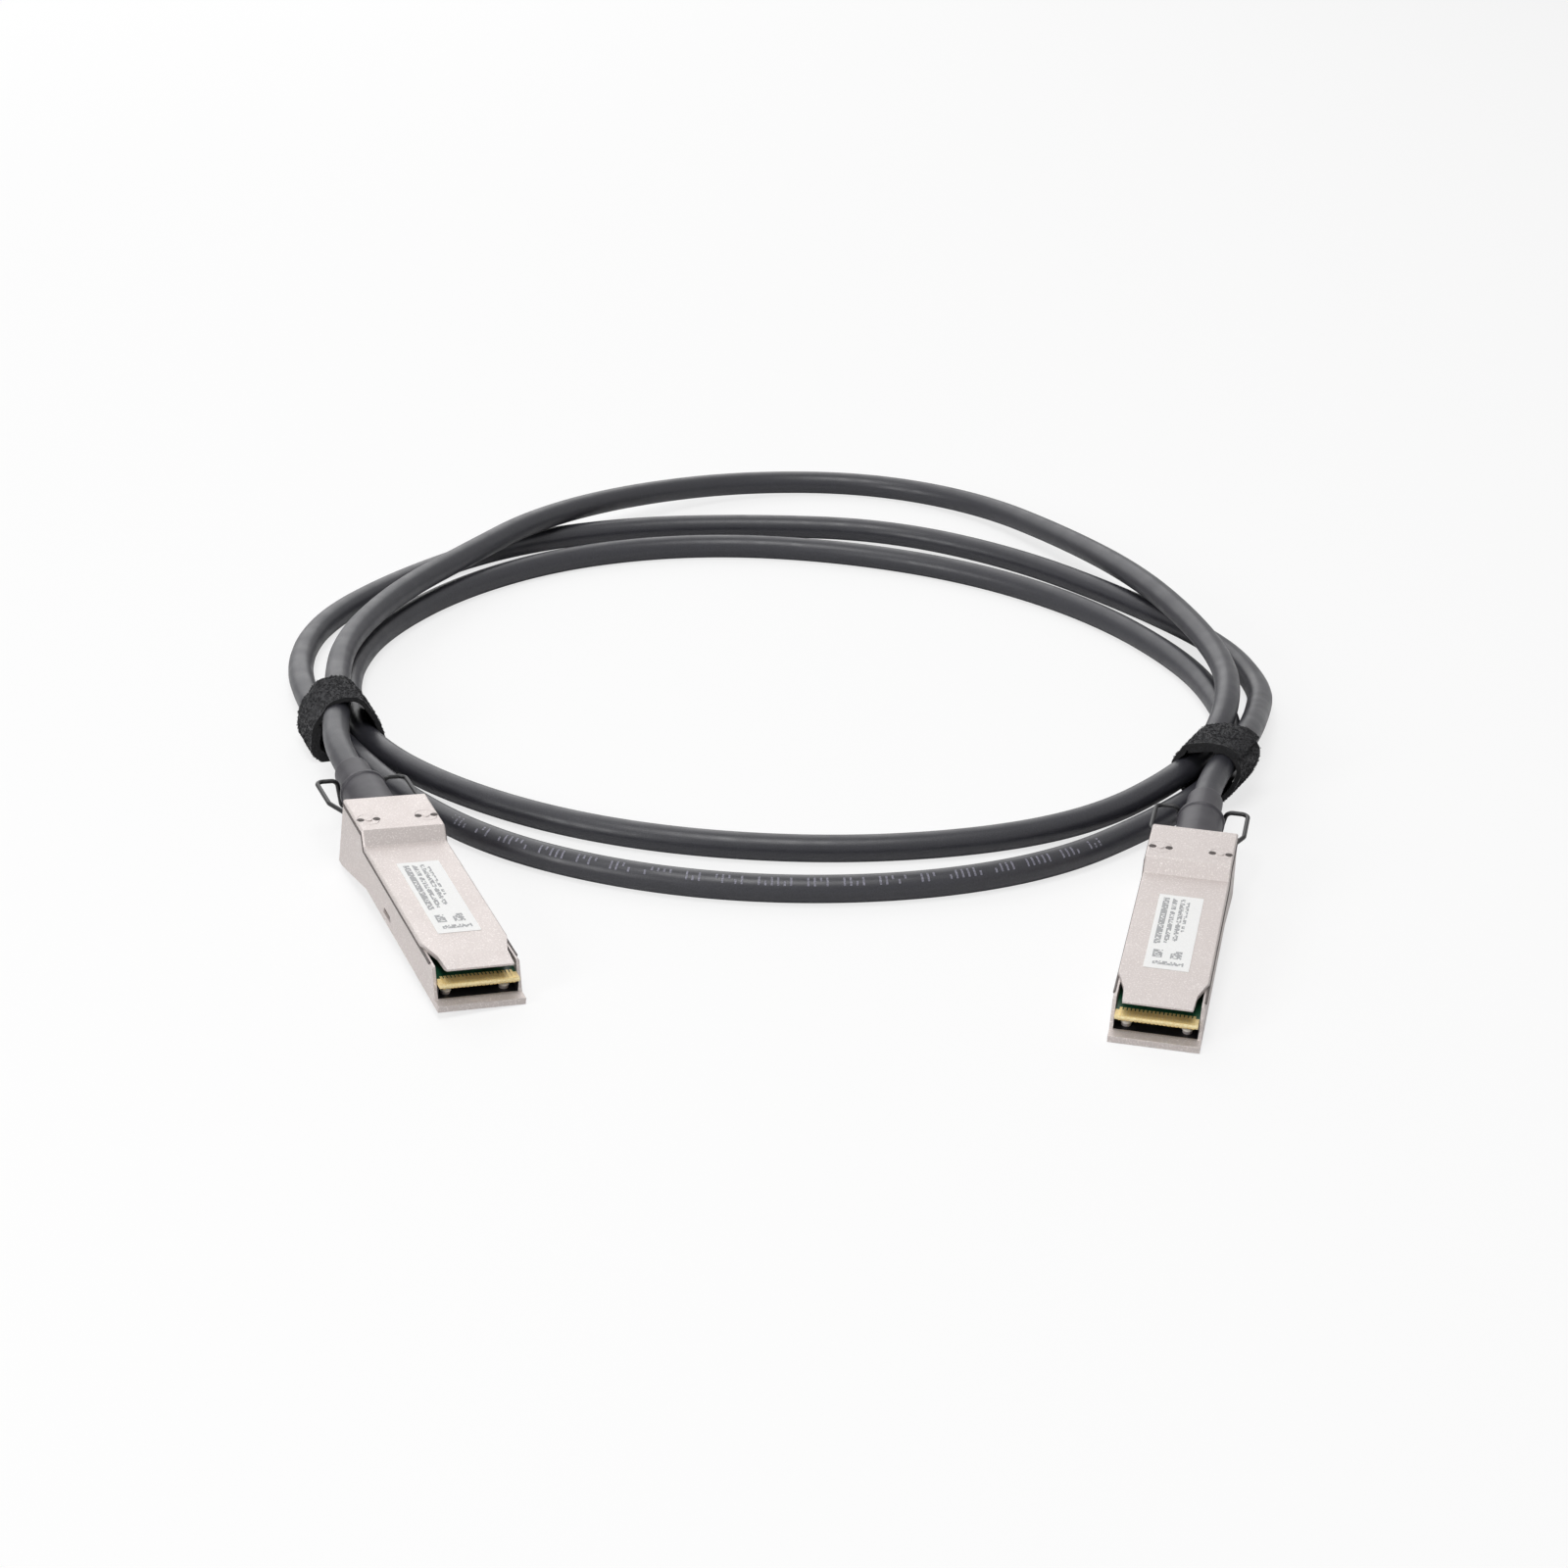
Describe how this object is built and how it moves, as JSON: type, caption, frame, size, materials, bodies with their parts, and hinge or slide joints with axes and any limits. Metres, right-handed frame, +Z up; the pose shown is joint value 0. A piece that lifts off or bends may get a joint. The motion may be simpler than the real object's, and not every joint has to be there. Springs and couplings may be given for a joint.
{
  "type": "direct attach copper cable",
  "caption": "Coiled direct attach copper cable: a latched metal plug with a pull wire loop at each end, held in loops by hook-and-loop straps.",
  "frame": {"origin": "middle of the two plugs' footprint, on the surface that the cable lies on", "axes": "+Z up, +X from the left plug to the right plug, +Y from the plugs' mouths towards the back of the coil"},
  "size_m": [0.2411, 0.3142, 0.0163],
  "materials": {
    "zinc_shell": "die-cast zinc, nickel plated, satin",
    "circuit_card": "green solder mask",
    "gold_contact": "gold plated",
    "chip_black": "moulded package",
    "steel_slider": "stamped stainless steel",
    "spring_steel": "drawn wire",
    "black_wire": "black coated steel wire",
    "boot_rubber": "dark moulded rubber",
    "ferrule_metal": "crimped",
    "pair_foil": "foil shield",
    "screw_metal": "satin",
    "label_white": "white printed label stock",
    "cable_jacket": "dark grey jacket, low sheen",
    "strap_fabric": "black hook-and-loop band"
  },
  "bodies": {
    "cable_assembly": {"left_top_shell": "zinc_shell", "left_bottom_shell": "zinc_shell", "left_paddle_card": "circuit_card", "left_contact_pads": "gold_contact", "left_memory_chip": "chip_black", "left_strain_boot": "boot_rubber", "left_crimp_ferrule": "ferrule_metal", "left_twinax_pairs": "pair_foil", "left_housing_screws": "screw_metal", "left_label": "label_white", "right_top_shell": "zinc_shell", "right_bottom_shell": "zinc_shell", "right_paddle_card": "circuit_card", "right_contact_pads": "gold_contact", "right_memory_chip": "chip_black", "right_strain_boot": "boot_rubber", "right_crimp_ferrule": "ferrule_metal", "right_twinax_pairs": "pair_foil", "right_housing_screws": "screw_metal", "right_label": "label_white", "left_return_springs": "spring_steel", "right_return_springs": "spring_steel", "cable_jacket": "cable_jacket", "left_strap": "strap_fabric", "right_strap": "strap_fabric"},
    "left_latch": {"left_latch_slider": "steel_slider", "left_pull_wire": "black_wire"},
    "right_latch": {"right_latch_slider": "steel_slider", "right_pull_wire": "black_wire"}
  },
  "joints": [
    {"name": "left_latch_slide", "type": "slide", "parent": "cable_assembly", "child": "left_latch", "axis": [-0.3949, 0.917, 0.0558], "range_m": [0, 0.002], "stiffness_N_per_m": 400, "springref_m": -0.01, "deforming": ["left_return_springs"]},
    {"name": "right_latch_slide", "type": "slide", "parent": "cable_assembly", "child": "right_latch", "axis": [0.2008, 0.978, 0.0558], "range_m": [0, 0.002], "stiffness_N_per_m": 400, "springref_m": -0.01, "deforming": ["right_return_springs"]}
  ]
}
